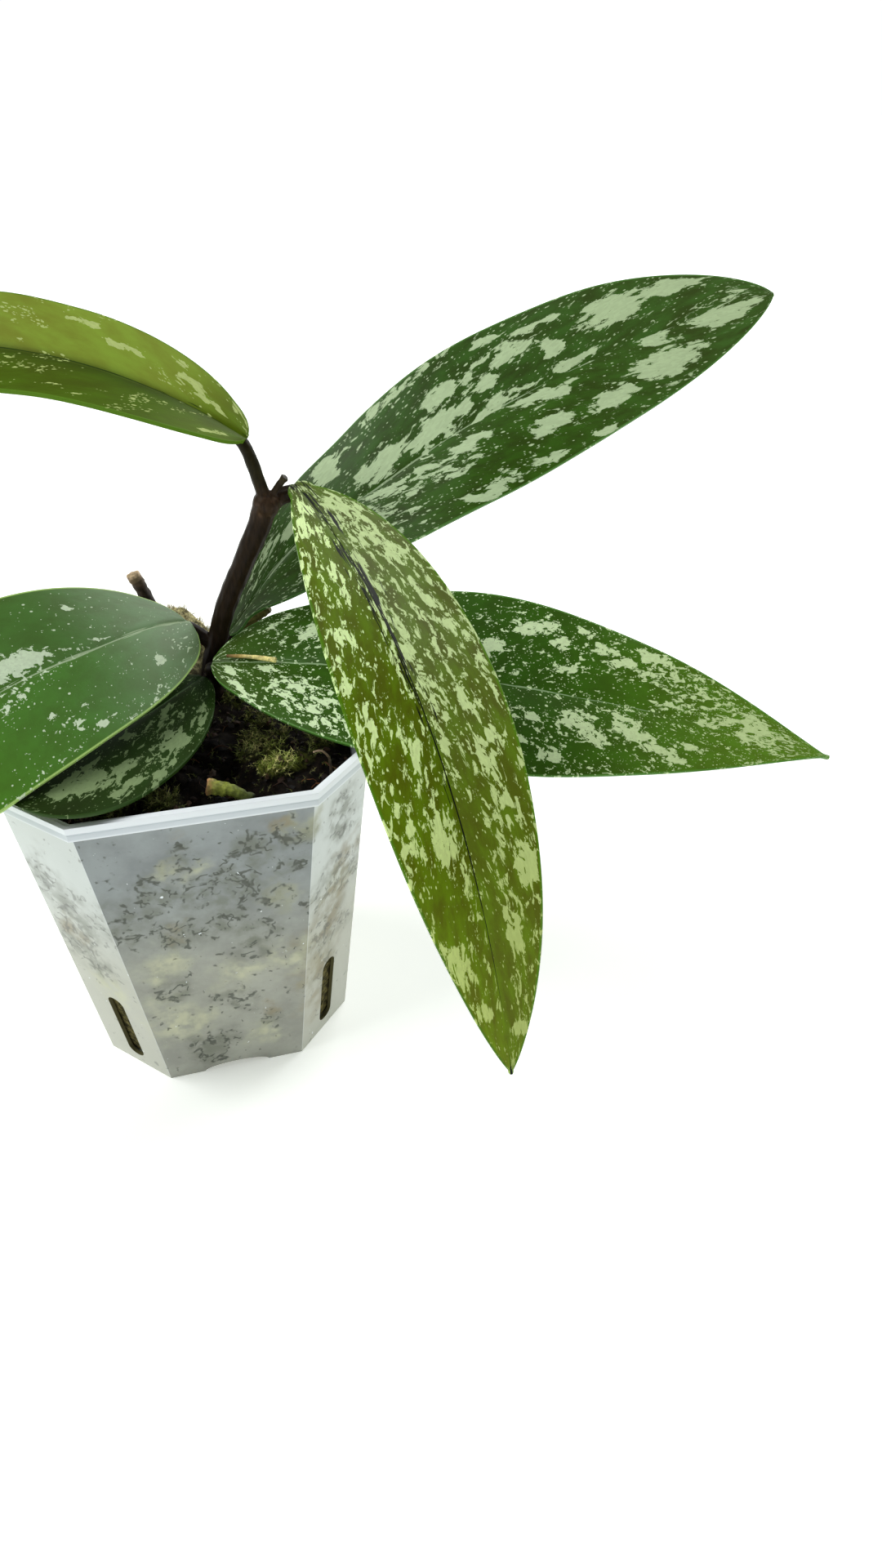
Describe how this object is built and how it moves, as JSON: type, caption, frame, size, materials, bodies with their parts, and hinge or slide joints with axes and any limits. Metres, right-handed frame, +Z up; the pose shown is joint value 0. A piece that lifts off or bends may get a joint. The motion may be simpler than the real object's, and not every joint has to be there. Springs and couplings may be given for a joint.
{
  "type": "potted hoya plant",
  "caption": "Houseplant with thick, pointed, silver-flecked green leaves on a dark stem, rooted in moss and soil in a frosted clear square nursery pot with cut corners.",
  "frame": {"origin": "middle of the pot's flat base, on the surface it stands on", "axes": "+Z up; -Y is the pot's front wall, towards which the front leaf hangs; +X to the right, where two leaves reach out"},
  "size_m": [0.222, 0.1306, 0.1509],
  "materials": {
    "pot": "frosted translucent",
    "soil_and_moss": "rough, damp bark, soil and moss",
    "stem": "satin dark bark",
    "young_leaf": "satin, waxy, few silver flecks",
    "olive_leaf": "satin, waxy, many silver flecks",
    "green_leaf": "satin, waxy, silver flecks",
    "dark_leaf": "satin, waxy, silver patches",
    "dead_wood": "rough brown",
    "mossy_wood": "rough, mossy",
    "dry_straw": "dry, matte"
  },
  "bodies": {
    "root": {"pot": "pot", "substrate": "soil_and_moss", "stem": "stem", "leaf_top_left": "young_leaf", "leaf_front": "olive_leaf", "leaf_back_right": "dark_leaf", "leaf_right": "green_leaf", "leaf_left": "green_leaf", "leaf_lower_left": "dark_leaf", "cut_stub": "dead_wood", "mossy_stick": "mossy_wood", "curled_root": "dead_wood", "moss_strand": "mossy_wood", "dry_twig": "dry_straw"}
  },
  "joints": []
}
